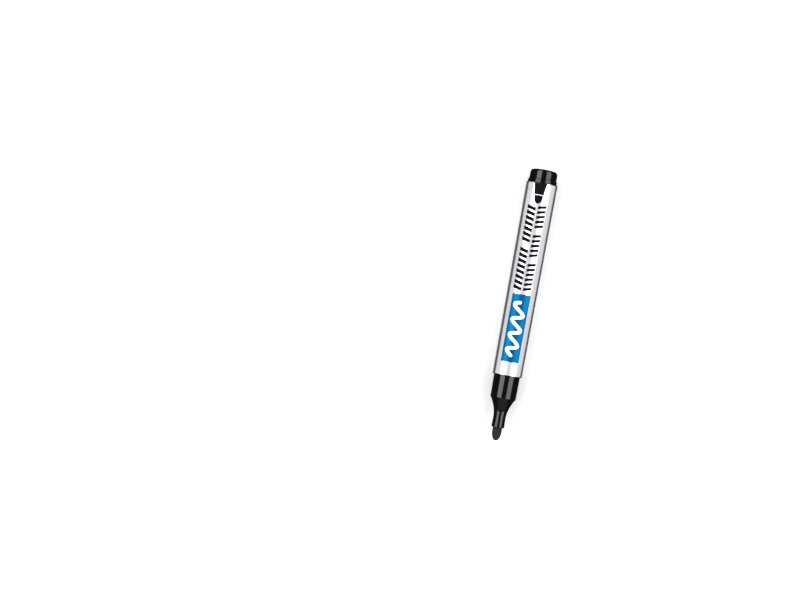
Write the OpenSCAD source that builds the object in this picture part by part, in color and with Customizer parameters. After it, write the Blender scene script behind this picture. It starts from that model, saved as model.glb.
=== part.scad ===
// Whiteboard marker with a bullet nib, lying along X with its cap pulled off in front of the nib.
// Every piece is turned about one axis. Places along it are measured in mm from the nib's tip,
// positive towards the tail. The cap's are given as when it is pushed home.

/* [Barrel] */
// Outer diameter over the foil at the tail end
barrel_tail_d = 15.0; // [14.6:0.1:15.6]
// Outer diameter over the foil at the front end
barrel_front_d = 14.1; // [13.8:0.1:14.4]
// Length of the barrel tube
barrel_len = 92.7; // [80:0.1:110]
// Inside diameter of the barrel tube
bore_d = 11.8; // [11.6:0.1:12]
// Thickness of the silver foil sleeve
foil_t = 0.1; // [0.05:0.01:0.15]
// Bare edge left by the foil at each end of the barrel
foil_edge = 0.4; // [0.2:0.1:2]

/* [Tail plug] */
// Length of the plug behind the barrel
plug_len = 6.4; // [6:0.1:10]
// Diameter of the plug's plain part
plug_d = 12.95; // [12.6:0.05:13]
// Diameter of the ring that bears on the barrel's end
plug_ring_d = 13.8; // [13.4:0.1:14.2]
// Length of that ring
plug_ring_len = 1.7; // [1:0.1:2.5]
// Radius of the edge round the plug's flat end
plug_edge_r = 1.5; // [0.4:0.1:2]

/* [Front section] */
// Length of the cylinder that the cap's skirt slides over
grip_len = 10.7; // [9:0.1:12]
// Diameter of that cylinder at the barrel
grip_rear_d = 12.4; // [12.3:0.02:12.44]
// Diameter of that cylinder at its shoulder
grip_front_d = 12.16; // [12:0.02:12.3]
// Length from the shoulder to the end of the nozzle
nose_len = 14.25; // [13:0.05:15]
// Smallest diameter of the nozzle
nozzle_d = 5.94; // [5.8:0.02:6]
// Diameter of the collar at the nozzle's end
collar_d = 6.14; // [6.1:0.01:6.2]

/* [Nib] */
// Diameter of the fibre nib
nib_d = 4.56; // [4.2:0.02:4.7]
// Length of nib that shows in front of the nozzle
nib_out = 6.3; // [5.5:0.1:7]

/* [Ink reservoir] */
// Diameter of the fibre core
core_d = 9.8; // [8:0.1:9.8]
// Thickness of the film round the core
film_t = 0.1; // [0.05:0.01:0.15]

/* [Cap] */
// Length of the whole cap
cap_len = 34.8; // [34.4:0.1:37]
// Diameter of the cap's skirt
skirt_d = 15.6; // [15.2:0.1:16.4]
// Length of the skirt
skirt_len = 11.2; // [10:0.1:11.5]
// Distance from the axis to the top of the anti-roll lug
lug_r = 8.96; // [8.6:0.01:9.6]
// Width of the anti-roll lug
lug_w = 4.5; // [3:0.1:6]
// Number of grooves that part the grip ribs
groove_count = 10; // [6:1:14]
// Width of a groove
groove_w = 1.1; // [0.6:0.1:1.4]
// Depth of a groove
groove_depth = 0.9; // [0.3:0.1:1]
// Gap between the nib's tip and the mouth of the pulled-off cap
cap_off_gap = 80; // [5:1:120]

/* [Hidden] */
$fn = 120;

// Places along the axis
nozzle_end = nib_out;
shoulder = nozzle_end + nose_len;
barrel_front = shoulder + grip_len;
barrel_tail = barrel_front + barrel_len;
tail_end = barrel_tail + plug_len;
seat_gap = 0.05;                      // left between the cap's mouth and the barrel
cap_mouth = barrel_front - seat_gap;
cap_front = cap_mouth - cap_len;
cap_travel = cap_mouth + cap_off_gap; // how far the pulled-off cap is from home

// The whole is centred over the origin, and the cap's skirt rests on the ground
axis_h = skirt_d / 2;
mid = (tail_end + cap_front - cap_travel) / 2;

// Inside the front section and the tail plug
spigot_front_len = 12;                // how far the front section reaches into the barrel
spigot_tail_len = 8;                  // how far the tail plug reaches into the barrel
core_room = 0.2;                      // diameter left free round the wrapped core
core_bore_r = core_d / 2 + film_t + core_room / 2;
core_front = shoulder + 3.45;
core_tail = barrel_tail - 6;
nib_in_core = 10;
film_short = 0.6;                     // the core stands out of its film by this at each end
plug_wall = 1.5;
ring_groove = 0.3;                    // depth of the fine groove beside the plug's ring
rib_t = 1;

// The nose: a concave flare from the nozzle up to the shoulder
flare_len = 9.8;
flare_power = 2.05;
flare_steps = 16;

// The nib's point: half an ellipse, worn to a small flat up to this angle
nib_point_len = 4.2;
nib_worn_a = 16;
nib_steps = 12;

// The cap's shell and its inner seal cup
boss_len = 2.7;
boss_r = 3.6;
shell_front = cap_front + boss_len;
shell_front_t = 1.3;
ribs_rear = cap_mouth - skirt_len - 2.6;
ribs_front_r = 5.5;
ribs_rear_r = 6.75;
neck_r = 7.1;
post_bore_r = plug_d / 2 + 0.075;     // wide mouth, which also fits over the tail plug
post_bore_len = 5.6;
skirt_bore_r = 6.3;
liner_r = 3.9;
liner_bore_r = collar_d / 2 + 0.05;   // running fit on the nozzle's collar
liner_rear = shoulder - 8;
cup_front = 3.4;                      // where the cup's straight bore starts
cup_floor = -0.8;
cup_floor_r = 2;
lug_flat_len = 8.2;
lug_run = 4;                          // length of the lug's sloping front
edge = 0.25;                          // small broken edges

// Points of a quarter-round edge: centre, radius, first and last angle
function arc(centre, r, a0, a1, steps = 8) =
    [for (i = [0:steps]) let (a = a0 + (a1 - a0) * i / steps)
        centre + r * [cos(a), sin(a)]];

// Radius of the nose at a distance from the shoulder
function nose_r(d) =
    nozzle_d / 2 + (grip_front_d - nozzle_d) / 2 * pow(1 - d / flare_len, flare_power);

// A piece turned from an outline of [radius, place], laid along X over the ground
module lay() translate([-mid, 0, axis_h]) rotate([0, 90, 0]) children();
module turned(outline) rotate_extrude() polygon(outline);
module bore(r, from, to) translate([0, 0, from]) cylinder(h = to - from, r = r);
module pulled_off() translate([0, 0, -cap_travel]) children();

// Black moulded tube with a slight draft, open at both ends
module barrel() color("#17171a") lay()
    difference() {
        translate([0, 0, barrel_front])
            cylinder(h = barrel_len, r1 = barrel_front_d / 2 - foil_t, r2 = barrel_tail_d / 2 - foil_t);
        bore(bore_d / 2, barrel_front - 1, barrel_tail + 1);
    }

// Silver printed foil all round the barrel, short of its ends
module foil_label() color("#c9ccd2") lay() {
    slope = (barrel_tail_d - barrel_front_d) / 2 / barrel_len;
    front_r = barrel_front_d / 2 + slope * foil_edge;
    tail_r = barrel_tail_d / 2 - slope * foil_edge;
    turned([[front_r - foil_t, barrel_front + foil_edge], [front_r, barrel_front + foil_edge],
            [tail_r, barrel_tail - foil_edge], [tail_r - foil_t, barrel_tail - foil_edge]]);
}

// Hollow plug pressed into the tail, with a bearing ring and ribs that hold the core
module tail_plug() color("#141416") lay() {
    plug_r = plug_d / 2;
    ring_end = barrel_tail + plug_ring_len;
    hollow_r = core_bore_r - 0.5;
    hollow_end = tail_end - plug_wall;
    difference() {
        turned(concat(
            [[0, barrel_tail - spigot_tail_len], [bore_d / 2 - edge, barrel_tail - spigot_tail_len],
             [bore_d / 2, barrel_tail - spigot_tail_len + edge], [bore_d / 2, barrel_tail],
             [plug_ring_d / 2, barrel_tail], [plug_ring_d / 2, ring_end - edge],
             [plug_ring_d / 2 - edge, ring_end], [plug_r - ring_groove, ring_end],
             [plug_r - ring_groove, ring_end + edge], [plug_r, ring_end + edge]],
            arc([plug_r - plug_edge_r, tail_end - plug_edge_r], plug_edge_r, 0, 90),
            [[0, tail_end]]));
        bore(core_bore_r, barrel_tail - spigot_tail_len - 1, core_tail + 1);
        bore(hollow_r, core_tail, hollow_end);
    }
    for (turn = [0, 90]) rotate([0, 0, turn])
        translate([-hollow_r - 0.2, -rib_t / 2, core_tail + 1])
            cube([2 * hollow_r + 0.4, rib_t, hollow_end - core_tail]);
    for (turn = [0, 90]) rotate([0, 0, turn])
        translate([-hollow_r / 2, -rib_t / 2, core_tail])
            cube([hollow_r, rib_t, 1]);
}

// One black moulding: spigot, cylinder for the cap's skirt, concave nose and nozzle
module front_section() color("#141416") lay()
    difference() {
        turned(concat(
            [[0, nozzle_end], [collar_d / 2 - 0.15, nozzle_end], [collar_d / 2, nozzle_end + 0.15],
             [collar_d / 2, nozzle_end + 0.9]],
            [for (i = [0:flare_steps]) let (d = flare_len * (1 - i / flare_steps))
                [nose_r(d), shoulder - d]],
            [[grip_rear_d / 2, barrel_front], [bore_d / 2, barrel_front],
             [bore_d / 2, barrel_front + spigot_front_len - edge],
             [bore_d / 2 - edge, barrel_front + spigot_front_len],
             [0, barrel_front + spigot_front_len]]));
        bore(nib_d / 2, nozzle_end - 1, shoulder);
        translate([0, 0, shoulder - 4.5])
            cylinder(h = 6.5, r1 = nib_d / 2, r2 = core_bore_r);
        bore(core_bore_r, shoulder + 2, barrel_front + spigot_front_len + 1);
    }

// Bonded fibre rod with a bullet tip; its tail end is pushed into the core
module nib() color("#2a2a2c") lay()
    turned(concat(
        [[0, 0]],
        [for (i = [0:nib_steps]) let (a = nib_worn_a + (90 - nib_worn_a) * i / nib_steps)
            [nib_d / 2 * sin(a), nib_point_len * (1 - cos(a) / cos(nib_worn_a))]],
        [[nib_d / 2, core_front + nib_in_core], [0, core_front + nib_in_core]]));

// Fibre core that holds the ink, with a socket that the nib fills
module ink_reservoir() color("#2f2f35") lay()
    difference() {
        bore(core_d / 2, core_front, core_tail);
        bore(nib_d / 2, core_front - 1, core_front + nib_in_core);
    }

// Clear film wrapped round the core
module reservoir_film() color("#dfe5ea") lay()
    difference() {
        bore(core_d / 2 + film_t, core_front + film_short, core_tail - film_short);
        bore(core_d / 2, core_front, core_tail);
    }

// The sloping-fronted lug, drawn as its side view and cut to the round at its top
module lug() {
    over = 0.3;
    slope = (lug_r - ribs_rear_r) / lug_run;
    intersection() {
        translate([0, lug_w / 2, 0]) rotate([90, 0, 0]) linear_extrude(lug_w)
            polygon([[neck_r, cap_mouth], [lug_r + over, cap_mouth],
                     [lug_r + over, cap_mouth - lug_flat_len + over / slope],
                     [ribs_rear_r, cap_mouth - lug_flat_len - lug_run],
                     [ribs_rear_r - 0.4, cap_mouth - lug_flat_len - lug_run]]);
        bore(lug_r, cap_front, cap_mouth);
    }
}

// Outer moulding of the cap: skirt, lug, neck and ribbed taper with an open front
module cap_shell() color("#1b1c1f") lay() pulled_off() {
    skirt_front = cap_mouth - skirt_len;
    groove_tilt = atan((ribs_rear_r - ribs_front_r) / (ribs_rear - shell_front));
    difference() {
        union() {
            turned([[0, shell_front], [ribs_front_r - edge, shell_front],
                    [ribs_front_r, shell_front + edge], [ribs_rear_r, ribs_rear],
                    [neck_r, skirt_front], [skirt_d / 2 - edge, skirt_front],
                    [skirt_d / 2, skirt_front + edge], [skirt_d / 2, cap_mouth - edge],
                    [skirt_d / 2 - edge, cap_mouth], [0, cap_mouth]]);
            rotate([0, 0, 90]) lug(); // level with the axis, on the +Y side
        }
        for (i = [0:groove_count - 1]) rotate([0, 0, 360 * i / groove_count])
            translate([ribs_front_r - groove_depth, -groove_w / 2, shell_front])
                rotate([0, groove_tilt, 0]) translate([0, 0, -2])
                    cube([4, groove_w, ribs_rear - shell_front + 2]);
        bore(post_bore_r, cap_mouth - post_bore_len, cap_mouth + 1);
        bore(skirt_bore_r, shoulder - 0.45, cap_mouth);
        // The way down to the seal cup keeps clear of the nose
        turned([[0, 8], [liner_r, 8], [4.3, shoulder - 8.5], [4.6, shoulder - 4.5],
                [5.45, shoulder - 1.85], [skirt_bore_r, shoulder - 0.45], [0, shoulder - 0.45]]);
        bore(liner_r, shell_front + shell_front_t, 9);
        bore(boss_r, shell_front - 1, shell_front + 2);
    }
}

// Softer inner cup that seals round the nozzle; its closed end shows as the cap's front boss
module cap_liner() color("#202124") lay() pulled_off()
    turned([[0, cap_front], [boss_r - 0.4, cap_front], [boss_r, cap_front + 0.4],
            [boss_r, shell_front + shell_front_t], [liner_r, shell_front + shell_front_t],
            [liner_r, liner_rear - edge], [liner_r - edge, liner_rear],
            [liner_bore_r + edge, liner_rear], [liner_bore_r, liner_rear - 2 * edge],
            [liner_bore_r, cup_front], [cup_floor_r, cup_floor], [0, cup_floor]]);

barrel();
foil_label();
tail_plug();
front_section();
nib();
ink_reservoir();
reservoir_film();
cap_shell();
cap_liner();
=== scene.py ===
"""Looks of the whiteboard marker: a bare marker lying on a pale floor, its cap pulled off ahead of the nib.

Everything ends up in metres in the part's own frame: X runs along the marker from nib to tail, Z is up.
Places along the marker are counted from the nib's tip, and radii from its axis. The printed art and the cap
are worked out in millimetres, and become metres where their points are placed in the frame.
"""

import math

import bmesh
import bpy
import numpy as np
from mathutils import Matrix, Vector
from mathutils.geometry import delaunay_2d_cdt


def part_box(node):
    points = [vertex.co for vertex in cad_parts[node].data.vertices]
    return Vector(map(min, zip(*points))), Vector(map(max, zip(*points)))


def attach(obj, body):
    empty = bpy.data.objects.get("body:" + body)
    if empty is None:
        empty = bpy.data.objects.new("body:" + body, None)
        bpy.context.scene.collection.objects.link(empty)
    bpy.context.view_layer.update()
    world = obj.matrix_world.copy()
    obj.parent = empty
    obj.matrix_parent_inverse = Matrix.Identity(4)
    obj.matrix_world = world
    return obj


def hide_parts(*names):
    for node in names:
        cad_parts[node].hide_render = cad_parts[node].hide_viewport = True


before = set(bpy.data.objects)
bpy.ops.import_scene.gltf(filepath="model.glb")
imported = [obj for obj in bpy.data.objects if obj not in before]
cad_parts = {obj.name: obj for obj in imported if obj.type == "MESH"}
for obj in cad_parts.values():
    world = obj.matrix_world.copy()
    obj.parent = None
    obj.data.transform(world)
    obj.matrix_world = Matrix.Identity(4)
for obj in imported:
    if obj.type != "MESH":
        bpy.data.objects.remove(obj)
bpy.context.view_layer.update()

# ---------------------------------------------------------------- sizes

mm = 0.001
SEGMENTS = 192                     # flats round a turned piece
ARC_STEPS = 5                      # flats along a rounded edge
CROWN_STEPS = 6                    # flats along half a rib's or the lug's round top
SHARP = math.radians(40)           # edges that turn by more than this stay sharp
SPIGOT_EDGE = 0.25 * mm            # radius of the edge at a spigot's end

barrel_lo, barrel_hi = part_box("barrel")
foil_lo, foil_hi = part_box("foil_label")
nib_lo, nib_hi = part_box("nib")

TIP = nib_lo.x                     # the nib's tip, where places along the marker start
AXIS_Z = (barrel_lo.z + barrel_hi.z) / 2
barrel_front, barrel_tail = barrel_lo.x - TIP, barrel_hi.x - TIP
nozzle_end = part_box("front_section")[0].x - TIP
tail_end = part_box("tail_plug")[1].x - TIP
cap_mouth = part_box("cap_shell")[1].x - TIP

nib_r = (nib_hi.y - nib_lo.y) / 2
barrel_tail_r = (barrel_hi.y - barrel_lo.y) / 2
barrel_front_r = 6.95 * mm
draft = (barrel_tail_r - barrel_front_r) / (barrel_tail - barrel_front)    # radius gained per length
bore_r = 5.9 * mm                  # inside the barrel, and outside the spigots pressed into it
core_bore_r = 5.1 * mm             # inside the spigots, round the ink core

# ---------------------------------------------------------------- mesh helpers


def rounded(corners):
    """An outline of (place, radius, edge radius) corners, with an arc at each corner that has one."""
    points = []
    for i, corner in enumerate(corners):
        at = Vector(corner[:2])
        if len(corner) < 3:
            points.append(at)
            continue
        edge = corner[2]
        before = (Vector(corners[i - 1][:2]) - at).normalized()
        after = (Vector(corners[(i + 1) % len(corners)][:2]) - at).normalized()
        half = before.angle(after) / 2
        middle = (before + after).normalized()
        side = (after - before).normalized()
        centre = at + middle * edge / math.sin(half)
        for k in range(ARC_STEPS + 1):
            swing = (math.pi / 2 - half) * (2 * k / ARC_STEPS - 1)
            points.append(centre + (side * math.sin(swing) - middle * math.cos(swing)) * edge)
    return points


def around(place, radius, angle):
    """A point in the frame. The angle is from straight up towards +Y."""
    return (TIP + place, radius * math.sin(angle), AXIS_Z + radius * math.cos(angle))


def new_object(name, mesh, *materials):
    """An object in the scene that holds the mesh, with its materials."""
    piece = bpy.data.objects.new(name, mesh)
    bpy.context.scene.collection.objects.link(piece)
    for material in materials:
        mesh.materials.append(material)
    return piece


def skin(name, rings, material, closed=True):
    """A piece skinned over rings of points. A closed one joins its last ring to its first."""
    ring_count, ring_size = len(rings), len(rings[0])
    verts = [p for ring in rings for p in ring]
    faces = []
    for i in range(ring_count if closed else ring_count - 1):
        a, b = i * ring_size, (i + 1) % ring_count * ring_size
        for j in range(ring_size):
            k = (j + 1) % ring_size
            faces.append((a + j, a + k, b + k, b + j))
    mesh = bpy.data.meshes.new(name)
    mesh.from_pydata(verts, [], faces)
    bm = bmesh.new()
    bm.from_mesh(mesh)
    bmesh.ops.remove_doubles(bm, verts=bm.verts, dist=1e-7)
    bmesh.ops.dissolve_degenerate(bm, edges=bm.edges, dist=1e-8)
    bmesh.ops.delete(bm, geom=[e for e in bm.edges if e.is_wire], context="EDGES")
    bmesh.ops.recalc_face_normals(bm, faces=bm.faces)
    bm.to_mesh(mesh)
    bm.free()
    mesh.shade_smooth()
    mesh.set_sharp_from_angle(angle=SHARP)
    piece = new_object(name, mesh, material)
    piece.modifiers.new("flat faces stay flat", "WEIGHTED_NORMAL").keep_sharp = True
    return piece


def turned(name, corners, material, closed=True):
    """A piece turned about the marker's axis from an outline of corners."""
    angles = [2 * math.pi * i / SEGMENTS for i in range(SEGMENTS)]
    rings = [[around(x, r, a) for a in angles] for x, r in rounded(corners)]
    return skin(name, rings, material, closed)


# ---------------------------------------------------------------- materials


class Shader:
    """Builds one procedural material; nodes are added by type and wired by socket name."""

    def __init__(self, name, **constants):
        self.material = bpy.data.materials.new(name)
        self.material.use_nodes = True
        self.tree = self.material.node_tree
        self.surface = self.tree.nodes["Principled BSDF"]
        for socket, value in constants.items():
            self.surface.inputs[socket.replace("_", " ")].default_value = value
        self.place = self.add("ShaderNodeTexCoord").outputs["Object"]

    def add(self, kind, settings=None, **sockets):
        """A new node. A socket is named by its name, or by _ and its number."""
        node = self.tree.nodes.new(kind)
        for key, value in (settings or {}).items():
            setattr(node, key, value)
        for key, value in sockets.items():
            self.wire(value, node.inputs[int(key[1:]) if key[1:].isdigit() else key.replace("_", " ")])
        return node

    def wire(self, value, socket):
        """Links a node's output to a socket, or sets the socket to a plain value."""
        if isinstance(value, bpy.types.NodeSocket):
            self.tree.links.new(value, socket)
        else:
            socket.default_value = value

    def vary(self, socket, value):
        """Lets a value that changes over the surface set one of the material's own sockets."""
        self.wire(value, self.surface.inputs[socket])

    def noise(self, size, detail=2.0, stretch=1.0, roughness=0.5):
        """Noise whose features are size metres across, stretched along the marker."""
        scaled = self.add("ShaderNodeMapping", Vector=self.place, Scale=(1 / stretch, 1, 1))
        return self.add("ShaderNodeTexNoise", Vector=scaled.outputs[0], Scale=1 / size,
                        Detail=detail, Roughness=roughness).outputs["Fac"]

    def math(self, operation, a, b=0.0, c=0.0):
        """The result of one math node."""
        return self.add("ShaderNodeMath", {"operation": operation}, _0=a, _1=b, _2=c).outputs[0]

    def remap(self, value, low, high, start=0.3, end=0.7):
        """Spreads value, from start to end, over low to high."""
        return self.add("ShaderNodeMapRange", Value=value, From_Min=start, From_Max=end,
                        To_Min=low, To_Max=high).outputs[0]

    def colours(self, value, *stops):
        """A colour ramp over value, with stops of (position, grey or colour)."""
        ramp = self.add("ShaderNodeValToRGB", Fac=value)
        points = ramp.color_ramp.elements
        for point, (position, colour) in zip(points, stops, strict=True):
            point.position = position
            point.color = (colour,) * 3 + (1,) if isinstance(colour, float) else (*colour, 1)
        return ramp.outputs[0]

    def bump(self, *layers):
        """Stacks bumps, each a height and how deep it is in metres."""
        normal = None
        for height, depth in layers:
            sockets = {"Height": height, "Distance": depth}
            if normal is not None:
                sockets["Normal"] = normal
            normal = self.add("ShaderNodeBump", **sockets).outputs[0]
        self.vary("Normal", normal)

    def distance(self, axis, origin):
        """How far along one axis of the frame a point is from an origin."""
        parts = self.add("ShaderNodeSeparateXYZ", Vector=self.place).outputs
        return self.math("SUBTRACT", parts[axis], origin)


def moulded(name, grey=0.0016, gloss=0.1, parting=False):
    """Black injection-moulded plastic: faint sink marks, fine skin, handling smears, hairline scratches."""
    s = Shader(name, IOR=1.49)
    deep = (grey, grey, grey * 1.1)
    worn = (grey * 1.5, grey * 1.5, grey * 1.7)
    s.vary("Base Color", s.colours(s.noise(7 * mm, detail=3), (0.3, deep), (0.7, worn)))
    smears = s.remap(s.noise(3.5 * mm, detail=4, stretch=2.5), gloss * 0.8, gloss * 1.7)
    scratches = s.remap(s.noise(0.12 * mm, detail=1, stretch=40), 0.0, 0.14, start=0.62, end=0.75)
    s.vary("Roughness", s.math("ADD", smears, scratches))
    sink_marks = (s.noise(9 * mm, detail=1, stretch=2), 0.012 * mm)
    fine_skin = (s.noise(0.22 * mm, detail=2), 0.0005 * mm)
    layers = [sink_marks, fine_skin]
    if parting:
        # a hairline ridge where the mould's halves met, level with the axis on both sides
        ridge = s.math("COMPARE", s.distance("Z", AXIS_Z), 0.0, 0.05 * mm)
        layers.append((ridge, 0.012 * mm))
    s.bump(*layers)
    return s.material


def foil(name, colour, metallic, gloss, tint=0.04):
    """Printed metallised film: long soft ripples, a fine grain and slight wear of the shine."""
    s = Shader(name, Metallic=metallic)
    dark = tuple(c * (1 - tint) for c in colour)
    s.vary("Base Color", s.colours(s.noise(5 * mm, detail=3, stretch=2), (0.35, dark), (0.65, colour)))
    wear = s.noise(2.2 * mm, detail=5, stretch=4)
    s.vary("Roughness", s.remap(wear, gloss * 0.9, gloss * 1.15))
    ripples = (s.noise(9 * mm, detail=1.5, stretch=3.5), 0.14 * mm)
    grain = (s.noise(0.25 * mm, detail=2), 0.0006 * mm)
    s.bump(ripples, grain)
    return s.material


def printed(name, colour, gloss, shine=0.5):
    """Opaque ink printed on the film, with a slightly raised grain and an uneven gloss."""
    s = Shader(name, IOR=1.5, Specular_IOR_Level=shine)
    lighter = tuple(min(1.0, c * 1.12 + 0.002) for c in colour)
    s.vary("Base Color", s.colours(s.noise(1.4 * mm, detail=4), (0.35, colour), (0.65, lighter)))
    s.vary("Roughness", s.remap(s.noise(0.6 * mm, detail=4), gloss * 0.85, gloss * 1.2))
    s.bump((s.noise(0.18 * mm, detail=3), 0.0012 * mm))
    return s.material


def bonded_fibre(name, dark, light, wet=False):
    """Fibres lying along the axis and stuck together, with pores between them."""
    s = Shader(name, IOR=1.4, Specular_IOR_Level=0.3, Sheen_Weight=0.04, Sheen_Roughness=0.6)
    strands = s.noise(0.11 * mm, detail=3, stretch=5, roughness=0.6)
    pores = s.add("ShaderNodeTexVoronoi", Vector=s.place, Scale=1 / (0.2 * mm)).outputs["Distance"]
    mixed = s.math("MULTIPLY", strands, s.remap(pores, 0.75, 1.1, start=0.1, end=0.6))
    s.vary("Base Color", s.colours(mixed, (0.25, dark), (0.65, light)))
    if wet:
        # ink keeps the writing end a little shinier
        soak = s.remap(s.distance("X", TIP), 0.55, 0.9, start=0.0, end=2.5 * mm)
        s.vary("Roughness", s.math("MULTIPLY", soak, s.remap(strands, 0.9, 1.05)))
    else:
        s.vary("Roughness", s.remap(strands, 0.85, 1.0))
    s.bump((strands, 0.03 * mm), (pores, 0.02 * mm))
    return s.material


def clear_film(name):
    """Thin wrapped film over the core, hazy, with creases along it."""
    s = Shader(name, IOR=1.5, Alpha=0.35, Base_Color=(0.85, 0.88, 0.9, 1))
    s.vary("Roughness", s.remap(s.noise(1.5 * mm, detail=3, stretch=6), 0.08, 0.3))
    creases = (s.noise(2.5 * mm, detail=2, stretch=8), 0.05 * mm)
    s.bump(creases)
    return s.material


black_barrel = moulded("black_barrel", gloss=0.16)
black_plug = moulded("black_plug", gloss=0.07)
black_nose = moulded("black_nose", gloss=0.07, parting=True)
black_cap = moulded("black_cap", gloss=0.11, parting=True)
black_liner = moulded("black_liner", grey=0.004, gloss=0.3)
silver_foil = foil("silver_foil", (0.84, 0.85, 0.88), metallic=0.96, gloss=0.2)
blue_ink = foil("blue_ink", (0.001, 0.097, 0.24), metallic=0.95, gloss=0.4, tint=0.14)
black_ink = printed("black_ink", (0.0015, 0.0015, 0.002), gloss=0.5, shine=0.03)
# white ink for the pen stroke, and also for a painted highlight line between the nib mark's bullet and body
white_print_and_highlight = printed("white_print_and_highlight", (0.8, 0.81, 0.83), gloss=0.4)
nib_felt = bonded_fibre("nib_felt", 0.0015, 0.011, wet=True)
core_felt = bonded_fibre("core_felt", 0.01, 0.045)
wrap_film = clear_film("wrap_film")

# ---------------------------------------------------------------- the marker's turned pieces


def make_barrel():
    """Black tube under the foil; only its two ends show."""
    inner_edge, outer_edge = 0.1 * mm, 0.15 * mm
    return turned("barrel_tube", [
        (barrel_front, bore_r, inner_edge),
        (barrel_front, barrel_front_r, outer_edge),
        (barrel_tail, barrel_tail_r, outer_edge),
        (barrel_tail, bore_r, inner_edge)], black_barrel)


def make_front_section():
    """Spigot, the cylinder that the cap slides over, and the concave nose down to the nozzle's collar."""
    collar_r, collar_end = 3.07 * mm, nozzle_end + 0.95 * mm
    neck_r, shoulder_r, cylinder_r = 2.97 * mm, 6.08 * mm, 6.2 * mm
    shoulder = nozzle_end + 14.25 * mm
    flare_len, flare_power, flare_steps = 9.8 * mm, 2.05, 40
    flare = []
    for i in range(flare_steps):
        t = i / flare_steps
        flare.append((shoulder - flare_len * (1 - t), neck_r + (shoulder_r - neck_r) * t ** flare_power))
    spigot_end = barrel_front + 12 * mm
    cone_wide, cone_narrow = shoulder + 2 * mm, shoulder - 4.5 * mm     # where the bore narrows to the nib
    return turned("front_section_moulding", [
        (nozzle_end, nib_r, 0.08 * mm),
        (nozzle_end, collar_r, 0.22 * mm),
        (collar_end, collar_r, 0.5 * mm),
        *flare,
        (shoulder, shoulder_r, 0.45 * mm),
        (barrel_front, cylinder_r),
        (barrel_front, bore_r),
        (spigot_end, bore_r, SPIGOT_EDGE),
        (spigot_end, core_bore_r),
        (cone_wide, core_bore_r),
        (cone_narrow, nib_r)], black_nose)


def make_nib():
    """Bullet nib: a rod whose point is half an ellipse, worn to a small flat up to the first angle."""
    point_len, worn, steps = 4.2 * mm, math.radians(16), 24
    inner_end = nib_hi.x - TIP
    angles = [worn + (math.pi / 2 - worn) * i / steps for i in range(steps + 1)]
    point = [(point_len * (1 - math.cos(a) / math.cos(worn)), nib_r * math.sin(a)) for a in angles]
    return turned("bullet_nib", [(0, 0), *point, (inner_end, nib_r), (inner_end, 0)], nib_felt, closed=False)


def make_tail_plug():
    """Plug with a bearing ring, a fine groove beside it, a rounded end and a small gate mark."""
    ring_r, ring_end = 6.9 * mm, barrel_tail + 1.7 * mm
    plug_r, end_edge = 6.475 * mm, 1.5 * mm
    groove_r, groove_end = plug_r - 0.3 * mm, ring_end + 0.25 * mm
    spigot_end, bore_step = barrel_tail - 8 * mm, barrel_tail - 6 * mm
    inner_r, inner_end = core_bore_r - 0.5 * mm, tail_end - 1.5 * mm
    gate_floor, stub_end = tail_end - 0.2 * mm, tail_end - 0.08 * mm
    gate_r, gate_floor_r, stub_r = 0.8 * mm, 0.7 * mm, 0.3 * mm
    edge = 0.1 * mm
    return turned("tail_plug_moulding", [
        (spigot_end, core_bore_r),
        (spigot_end, bore_r, SPIGOT_EDGE),
        (barrel_tail, bore_r),
        (barrel_tail, ring_r, 0.12 * mm),
        (ring_end, ring_r, 0.3 * mm),
        (ring_end, groove_r),
        (groove_end, groove_r),
        (groove_end, plug_r, edge),
        (tail_end, plug_r, end_edge),
        (tail_end, gate_r, edge),
        (gate_floor, gate_floor_r, edge),
        (gate_floor, stub_r),
        (stub_end, 0),
        (inner_end, 0),
        (inner_end, inner_r),
        (bore_step, inner_r),
        (bore_step, core_bore_r)], black_plug)


# ---------------------------------------------------------------- the printed foil sleeve
# Outlines here are in mm: places along the marker, and arc lengths from its top line, plus towards +Y.

FOIL_T = 0.1 * mm
UNROLL_R = 7.25                    # radius at which the art is unrolled, in mm
LAP, LAP_EDGE, LAP_FADE = 19.4, 0.04, 3.0      # where the film laps over, and the lap's rise and fade
LAP_T = 0.05 * mm
INKS = ["silver", "blue", "white", "black"]    # in the order of the sleeve's materials


def box_outline(low, high, left, right):
    """A rectangle from one place to another, between two sides."""
    return [(low, left), (high, left), (high, right), (low, right)]


def mirrored(half):
    """A closed outline from its half on one side of the top line. A point on the line isn't repeated."""
    return half + [(place, -side) for place, side in half[::-1] if side]


def shifted(outline, side):
    """The outline, moved round the marker."""
    return [(place, at + side) for place, at in outline]


def wavy_stroke(start, end, height, waves, width):
    """Outline of one broad wavy pen stroke with round ends, whose waves lean."""
    samples, lean, end_steps = 96, 0.3, 8
    spine = []
    for i in range(samples + 1):
        t = i / samples
        sway = height * math.sin(2 * math.pi * waves * t)
        spine.append(Vector((start + (end - start) * t + lean * sway, sway)))
    left, right = [], []
    for i, point in enumerate(spine):
        way = (spine[min(i + 1, samples)] - spine[max(i - 1, 0)]).normalized()
        out = Vector((-way.y, way.x)) * width / 2
        left.append(point + out)
        right.append(point - out)

    def round_end(centre, neighbour):
        """Half a circle round an end of the spine."""
        along = (centre - neighbour).normalized() * width / 2
        side = Vector((-along.y, along.x))
        angles = [k * math.pi / end_steps for k in range(1, end_steps)]
        return [centre + along * math.sin(a) + side * math.cos(a) for a in angles]

    outline = left + round_end(spine[-1], spine[-2]) + right[::-1] + round_end(spine[0], spine[1])
    return [tuple(point) for point in outline]


def hatching(places, low, high, stroke, lean):
    """Leaning bars between two sides of a row."""
    outlines = []
    for place in places:
        first, last = place - stroke / 2, place + stroke / 2
        outlines.append([(first - lean, low), (last - lean, low), (last + lean, high), (first + lean, high)])
    return outlines


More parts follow.
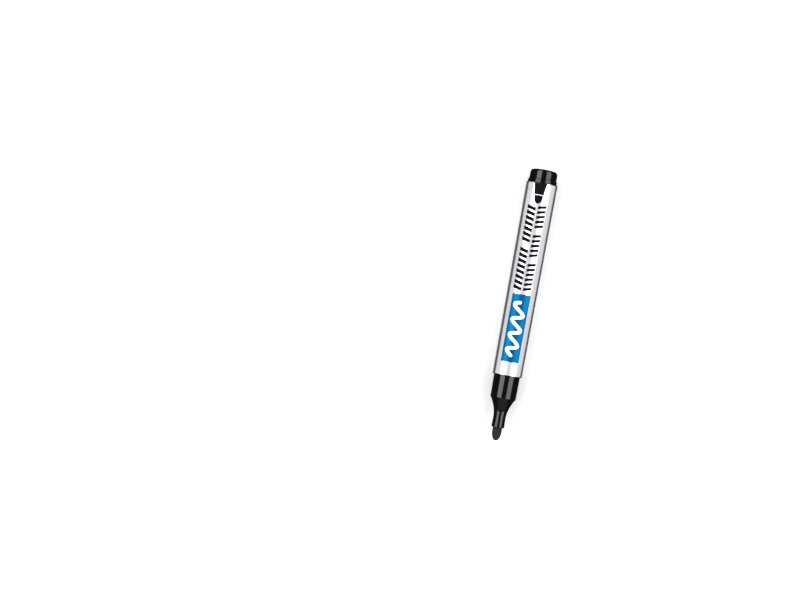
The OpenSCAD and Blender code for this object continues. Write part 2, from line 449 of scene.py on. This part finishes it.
def printed_art(tail):
    """All that is printed on the foil: (ink, outline), in places and in arc lengths from the top line."""
    # a blue panel with one wavy pen stroke, both a little to one side of the top line
    panel = box_outline(37.95, 70.4, -3.95, 5.25)
    stroke = shifted(wavy_stroke(41.2, 66.4, height=2.5, waves=3.5, width=1.5), 0.65)
    # two rows of hatching that lean apart, broken in two and in three
    upper = [73.3 + 2.55 * i for i in range(16) if i != 8]
    lower = [73.2 + 2.3 * i for i in range(18) if i not in (6, 12)]
    bars = hatching(upper, 1.4, 5.6, stroke=1.72, lean=0.6)
    bars += hatching(lower, -3.5, 0.5, stroke=1.35, lean=-0.45)
    # a nib's bullet tip and the body behind it, flaring to the foil's end, with a line of white ink between
    # them: a painted highlight standing in for the foil's shine in the gap
    tip, point_len, tip_half, steps = 113.7, 2.9, 1.92, 6
    line, line_end, body_half, centre = 117.8, 118.0, 2.3, 1.1
    angles = [math.pi / 2 * i / steps for i in range(1, steps + 1)]
    point = [(tip + point_len * (1 - math.cos(a)), tip_half * math.sin(a)) for a in angles]
    bullet = mirrored([(tip, 0), *point, (line, tip_half)])
    body = mirrored([(line_end, body_half), (121.2, 2.6), (tail, 3.1)])
    # white ink across the gap between bullet and body: a painted highlight in place of the foil's shine
    # there
    painted_highlight_line = box_outline(line, line_end, -body_half, body_half)
    art = [("blue", panel), ("white", stroke)]
    art += [("black", bar) for bar in bars]
    art += [("black", shifted(bullet, centre)), ("white", shifted(painted_highlight_line, centre)),
            ("black", shifted(body, centre))]
    return art


def cut_sheet(front, tail):
    """The unrolled foil as triangles: its points, its triangles, and the material of each triangle."""
    side_steps, place_steps, tolerance = 96, 16, 1e-5
    edge = math.pi * UNROLL_R
    sides = [-edge + 2 * edge / side_steps * i for i in range(side_steps + 1)]
    sides = sorted(sides + [LAP, LAP + LAP_EDGE, LAP + LAP_FADE])
    places = [front + (tail - front) * i / place_steps for i in range(place_steps + 1)]
    points = [Vector((place, side)) for place in places for side in sides]
    row, rows = len(sides), len(places)
    lines = [(i * row + j, i * row + j + 1) for i in range(rows) for j in range(row - 1)]
    lines += [(i * row + j, (i + 1) * row + j) for i in range(rows - 1) for j in range(row)]
    inks, regions = [], []
    for ink, outline in printed_art(tail):
        corners = [Vector(p) for p in outline]
        area = sum(a.cross(b) for a, b in zip(corners, corners[1:] + corners[:1]))
        inks.append(INKS.index(ink))
        regions.append(list(range(len(points), len(points) + len(corners))))
        points += corners if area > 0 else corners[::-1]
    flat, _, triangles, _, _, owners = delaunay_2d_cdt(points, lines, regions, 0, tolerance)
    # what is printed later lies on top
    return flat, triangles, [inks[max(owner)] if owner else 0 for owner in owners]


def make_label():
    """Foil sleeve as one closed sheet, with its art cut into the mesh and a lap seam underneath."""
    front, tail = (foil_lo.x - TIP) / mm, (foil_hi.x - TIP) / mm
    flat, triangles, materials = cut_sheet(front, tail)

    def lift(place, side, inner):
        """A point of the unrolled sheet, wrapped round the barrel."""
        radius = barrel_front_r + draft * (place * mm - barrel_front)
        if not inner:
            step = np.interp(side, [LAP, LAP + LAP_EDGE, LAP + LAP_FADE], [0, 1, 0])
            radius += FOIL_T + LAP_T * step
        return around(place * mm, radius, side / UNROLL_R)

    bm = bmesh.new()
    for inner in (False, True):
        verts = [bm.verts.new(lift(p.x, p.y, inner)) for p in flat]
        for triangle, material in zip(triangles, materials):
            face = bm.faces.new([verts[k] for k in (triangle if inner else triangle[::-1])])
            face.material_index = material
    bmesh.ops.remove_doubles(bm, verts=bm.verts, dist=2e-8)
    middle = (foil_lo.x + foil_hi.x) / 2
    rims = [e for e in bm.edges if e.is_boundary]
    bmesh.ops.bridge_loops(bm, edges=[e for e in rims if e.verts[0].co.x < middle])
    bmesh.ops.bridge_loops(bm, edges=[e for e in rims if e.verts[0].co.x > middle])
    bmesh.ops.recalc_face_normals(bm, faces=bm.faces)
    mesh = bpy.data.meshes.new("printed_foil")
    bm.to_mesh(mesh)
    bm.free()
    mesh.shade_smooth()
    mesh.normals_split_custom_set(sleeve_normals(mesh))
    return new_object("printed_foil", mesh, silver_foil, blue_ink, white_print_and_highlight, black_ink)


def sleeve_normals(mesh):
    """A true cone's normals on the sleeve's two sides, and each face's own on its rims and the lap."""
    nearly_parallel = 0.94
    normals = []
    for face in mesh.polygons:
        for k in face.vertices:
            at = mesh.vertices[k].co
            out = Vector((-draft, at.y, at.z - AXIS_Z))
            out.yz = out.yz.normalized()
            out.normalize()
            agree = out.dot(face.normal)
            on_side = abs(agree) > nearly_parallel
            normals.append(out * math.copysign(1, agree) if on_side else face.normal.copy())
    return normals


# ---------------------------------------------------------------- the cap
# From here to the liner, sizes are in mm, and places are those on the capped marker.

RIBS = 10
PITCH = 2 * math.pi / RIBS
LUG_ROOM = math.radians(21)        # half the angle that the lug takes on the skirt
ARC_30, ARC_45, ARC_60 = 0.13, 0.29, 0.5       # 1 - cos of the angle, for the points along small arcs

mouth = barrel_front / mm - 0.05   # the cap's mouth stops just short of the barrel
PULLED = cap_mouth - mouth * mm    # how far the pulled-off cap is from there, in metres
ribs_start, ribs_end, skirt_start = -0.9, 17.4, 20.0
front_r, ribs_end_r, neck_end_r, skirt_r = 5.5, 6.75, 7.1, 7.8
groove_depth = 0.9
lug_r = 8.96
liner_r, boss_r, liner_step = 3.9, 3.6, 0.4
lug_room_start = ribs_end + 0.5    # from here the rings make room for the lug
# how the grooves run out: offsets from ribs_end, and the share of their depth that is left there
GROOVE_END = [(-0.2, 1), (-0.07, 0.94), (-0.03, 0.78), (0.03, 0.22), (0.1, 0.06), (0.2, 0)]


def taper_r(place):
    """Radius over the ribs."""
    return front_r + (ribs_end_r - front_r) * (place - ribs_start) / (ribs_end - ribs_start)


def neck_r(place):
    """Radius of the plain neck between the ribs and the skirt."""
    return ribs_end_r + (neck_end_r - ribs_end_r) * (place - ribs_end) / (skirt_start - ribs_end)


def crown(edge, radius):
    """The round top of half a rib or of half the lug, from its edge to its middle."""
    return [(edge * (1 - k / CROWN_STEPS), radius) for k in range(1, CROWN_STEPS + 1)]


def rib_half(radius, depth):
    """Half a rib and half a groove, from the groove's middle: (angle from the rib's middle, radius)."""
    half_w, round_r, foot_r = 0.55, 0.24, 0.16
    # distances from the groove's middle, and shares of its depth
    wall = [(0, 1),
            (half_w - foot_r, 1),
            (half_w - foot_r * ARC_45, 1 - foot_r * ARC_45 / groove_depth),
            (half_w, 1 - foot_r / groove_depth),
            (half_w, round_r / groove_depth),
            (half_w + round_r * ARC_30, round_r * ARC_60 / groove_depth),
            (half_w + round_r * ARC_60, round_r * ARC_30 / groove_depth),
            (half_w + round_r, 0)]
    half = [(PITCH / 2 - math.asin(t / (radius - drop * depth)), radius - drop * depth) for t, drop in wall]
    return half + crown(half[-1][0], radius)


def lug_half(base, top, trim):
    """Half the lug from its foot, with as many points as half a rib."""
    half_w, round_r, foot_r, height = 2.25 - trim, 0.45, 0.12, lug_r - skirt_r
    # distances from the lug's middle, and shares of its height
    wall = [(half_w + foot_r, 0),
            (half_w + foot_r * ARC_45, foot_r * ARC_45 / height),
            (half_w, foot_r / height),
            (half_w, 1 - round_r / height),
            (half_w - round_r * ARC_30, 1 - round_r * ARC_60 / height),
            (half_w - round_r * ARC_60, 1 - round_r * ARC_30 / height),
            (half_w - round_r, 1)]
    half = [(math.asin(t / (base + share * (top - base))), base + share * (top - base)) for t, share in wall]
    return [(LUG_ROOM, base), *half] + crown(half[-1][0], top)


def lug_top(place):
    """The lug's height over the axis: a sloping front that eases into its flat top."""
    start, start_r, slope_len, ease = 19, 6.75, 4, 0.2
    slope = start_r + (lug_r - start_r) * (place - start) / slope_len
    return (slope + lug_r - math.hypot(slope - lug_r, ease)) / 2


def cap_ring(place, radius, outside):
    """One ring of the cap's shell: grooved on the taper, with the lug behind it, and plain on the bores."""
    half = [(angle, radius) for angle, _ in rib_half(ribs_end_r, 0)]
    if outside and place < ribs_end + GROOVE_END[-1][0]:
        left_over = np.interp(place - ribs_end, *zip(*GROOVE_END))
        depth = (radius - taper_r(place) + groove_depth) * left_over
        if depth:
            half = rib_half(radius, depth)
    lefts, rights = [half] * RIBS, [half] * RIBS
    if outside and place > lug_room_start:
        # the lug stands in for one rib, its neighbours' near halves make room, and the mouth's edge trims it
        at_mouth = place > (skirt_start + mouth) / 2
        trim = max(0, skirt_r - radius) if at_mouth else 0
        lug = lug_half(radius, max(radius, lug_top(place) - trim), trim / 2)
        near = [(angle * (PITCH - LUG_ROOM) / (PITCH / 2), r) for angle, r in half]
        lefts = [lug, near] + lefts[2:]
        rights = [lug] + rights[2:] + [near]
    ring = []
    for rib, (left, right) in enumerate(zip(lefts, rights)):
        middle = math.pi / 2 + rib * PITCH
        ring += [around(PULLED + place * mm, r * mm, middle - angle) for angle, r in left]
        ring += [around(PULLED + place * mm, r * mm, middle + angle) for angle, r in right[-2:0:-1]]
    return ring


def make_cap_shell():
    """Cap's outer moulding: ribbed taper, neck, skirt with its lug, and the bores inside."""
    run_out = [ribs_end + offset for offset, _ in GROOVE_END]
    slope_places = [20.6 + 0.25 * k for k in range(15)]      # rings close together where the lug's top bends
    outside = [(ribs_start, front_r, 0.3)]
    outside += [(place, taper_r(place)) for place in [3, 8, 13] + run_out[:4]]
    outside += [(place, neck_r(place)) for place in run_out[4:] + [18.2, 18.8, 19.3, 19.6]]
    outside += [(skirt_start, neck_end_r, 0.12), (skirt_start, skirt_r, 0.3)]
    outside += [(place, skirt_r) for place in slope_places + [26, 29]]
    outside += [(mouth, skirt_r, 0.3)]
    mouth_bore_r, mouth_bore_end, seat_r = 6.55, mouth - 5.6, 6.3
    nose_room = [(20.1, seat_r), (18.7, 5.45), (16.05, 4.6), (12.05, 4.3), (8, liner_r)]
    inside = [(mouth, mouth_bore_r, 0.12), (mouth_bore_end, mouth_bore_r, 0.15)]
    inside += [(mouth_bore_end, seat_r, 0.1)] + nose_room
    inside += [(liner_step, liner_r), (liner_step, boss_r), (ribs_start, boss_r, 0.15)]
    outside_count = len(outside) + ARC_STEPS * sum(len(corner) > 2 for corner in outside)
    profile = rounded(outside + inside)
    rings = [cap_ring(p.x, p.y, i < outside_count) for i, p in enumerate(profile)]
    return skin("cap_moulding", rings, black_cap)


def make_cap_liner():
    """Seal cup inside the cap; its closed end is the round boss with a gate mark in front."""
    boss_end, gate_floor, gate_r, gate_floor_r = -3.6, -3.45, 0.6, 0.45
    cup_end, cup_r, cup_front, cup_floor, cup_floor_r = 12.55, 3.12, 3.4, -0.8, 2
    outline = [
        (gate_floor, 0),
        (gate_floor, gate_floor_r),
        (boss_end, gate_r, 0.05),
        (boss_end, boss_r, 0.4),
        (liner_step, boss_r),
        (liner_step, liner_r),
        (cup_end, liner_r, 0.25),
        (cup_end, cup_r, 0.3),
        (cup_front, cup_r),
        (cup_floor, cup_floor_r),
        (cup_floor, 0)]
    corners = [(PULLED + place * mm, *(size * mm for size in sizes)) for place, *sizes in outline]
    return turned("seal_cup", corners, black_liner, closed=False)


printed_foil = make_label()
pieces = [
    (make_barrel(), "marker", "barrel", "barrel_plastic"),
    (printed_foil, "marker", "foil_label", "silver_foil"),
    (make_tail_plug(), "marker", "tail_plug", "plug_plastic"),
    (make_front_section(), "marker", "front_section", "nose_plastic"),
    (make_nib(), "marker", "nib", "nib_fibre"),
    (make_cap_shell(), "cap", "cap_shell", "cap_plastic"),
    (make_cap_liner(), "cap", "cap_liner", "liner_plastic")]

# ---------------------------------------------------------------- stage, light and camera


def make_floor():
    """A plain pale floor; shiny surfaces see past it into the dark studio."""
    half = 3.0
    corners = [(-half, -half, 0), (half, -half, 0), (half, half, 0), (-half, half, 0)]
    mesh = bpy.data.meshes.new("floor")
    mesh.from_pydata(corners, [], [(0, 1, 2, 3)])
    s = Shader("pale_floor", Roughness=0.9)
    s.vary("Base Color", s.colours(s.noise(0.05, detail=3), (0.4, 0.6), (0.6, 0.62)))
    floor = new_object("floor", mesh, s.material)
    floor.visible_glossy = False


def make_softbox(name, place, reach, length, width, radiance):
    """A softbox that faces a place on the axis from reach away, its length along X, or Y if it is ahead."""
    light = bpy.data.lights.new(name, "AREA")
    light.shape = "RECTANGLE"
    light.size, light.size_y = length, width
    light.energy = radiance * math.pi * width * length
    lamp = bpy.data.objects.new(name, light)
    bpy.context.scene.collection.objects.link(lamp)
    reach = Vector(reach)
    back = reach.normalized()
    side = Vector((0, 1, 0)) if reach.x else Vector((1, 0, 0))
    facing = Matrix((side, back.cross(side), back)).transposed().to_4x4()
    lamp.matrix_world = Matrix.Translation(Vector((TIP + place, 0, AXIS_Z)) + reach) @ facing
    lamp.visible_camera = False
    return lamp


def make_lights(label):
    """Two softboxes and a dim card ahead of the nib light everything, four other cards only the foil."""
    make_softbox("left_softbox", 0.3, (0, 0.36, 0.415), 1.1, 0.4, 4.2)
    make_softbox("right_softbox", 0.3, (0, -0.36, 0.415), 1.1, 0.4, 3.7)
    make_softbox("front_card", 16 * mm, (-0.44, 0, 0.33), 1.3, 0.42, 0.3)
    foil_only = bpy.data.collections.new("foil_only")
    foil_only.objects.link(label)
    middle = tail_end / 2
    left_card = make_softbox("left_card", middle, (0, 0.55, 0), 1.3, 0.5, 0.74)
    right_card = make_softbox("right_card", middle, (0, -0.55, 0), 1.3, 0.5, 0.74)
    top_card = make_softbox("top_card", middle, (0, 0, 0.75), 1.3, 0.44, 0.68)
    # this one stands for the pale floor's reflection in the foil, so the floor doesn't shade it
    ground_card = make_softbox("ground_card", middle, (0, 0, -0.5), 1.3, 0.44, 0.45)
    ground_card.light_linking.blocker_collection = foil_only
    for card in (left_card, right_card, top_card, ground_card):
        card.light_linking.receiver_collection = foil_only


def make_world():
    """A plain pale backdrop that also fills the shadows, while shiny surfaces mirror a dark studio."""
    world = bpy.data.worlds.new("studio")
    bpy.context.scene.world = world
    world.use_nodes = True
    tree = world.node_tree
    backdrop = tree.nodes["Background"]
    backdrop.inputs["Color"].default_value = (0.93, 0.94, 0.95, 1)
    dark = tree.nodes.new("ShaderNodeBackground")
    dark.inputs["Color"].default_value = (0.04, 0.04, 0.042, 1)
    rays = tree.nodes.new("ShaderNodeLightPath")
    either = tree.nodes.new("ShaderNodeMath")
    either.operation = "MAXIMUM"
    mix = tree.nodes.new("ShaderNodeMixShader")
    tree.links.new(rays.outputs["Is Camera Ray"], either.inputs[0])
    tree.links.new(rays.outputs["Is Diffuse Ray"], either.inputs[1])
    tree.links.new(either.outputs[0], mix.inputs[0])
    tree.links.new(dark.outputs[0], mix.inputs[1])
    tree.links.new(backdrop.outputs[0], mix.inputs[2])
    tree.links.new(mix.outputs[0], tree.nodes["World Output"].inputs[0])


def make_camera():
    """Looks straight down, turned so that the marker stands on its nib in the picture, leaning right."""
    lean = math.radians(10.35)                   # the marker's lean from upright in the picture
    tip_right, tip_down = 45.3 * mm, 69.3 * mm   # the nib's tip, from the picture's centre
    distance = 704 * mm                          # from the camera to the marker's axis
    picture_right = Vector((math.sin(lean), -math.cos(lean), 0))
    picture_up = Vector((math.cos(lean), math.sin(lean), 0))
    camera = bpy.data.cameras.new("camera")
    camera.lens = 66.6
    camera.sensor_width = 36
    eye = bpy.data.objects.new("camera", camera)
    bpy.context.scene.collection.objects.link(eye)
    tip = Vector((TIP, 0, AXIS_Z))
    place = tip - picture_right * tip_right + picture_up * tip_down + Vector((0, 0, distance))
    turn = Matrix((picture_right, picture_up, (0, 0, 1))).transposed()
    eye.matrix_world = Matrix.Translation(place) @ turn.to_4x4()
    bpy.context.scene.camera = eye


make_floor()
make_lights(printed_foil)
make_world()
make_camera()
bpy.context.scene.view_settings.view_transform = "Standard"

# ---------------------------------------------------------------- hand over

for piece, body, node, slot in pieces:
    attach(piece, body)
    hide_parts(node)
for node, material in (("ink_reservoir", core_felt), ("reservoir_film", wrap_film)):
    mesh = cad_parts[node].data
    mesh.materials.clear()
    mesh.materials.append(material)
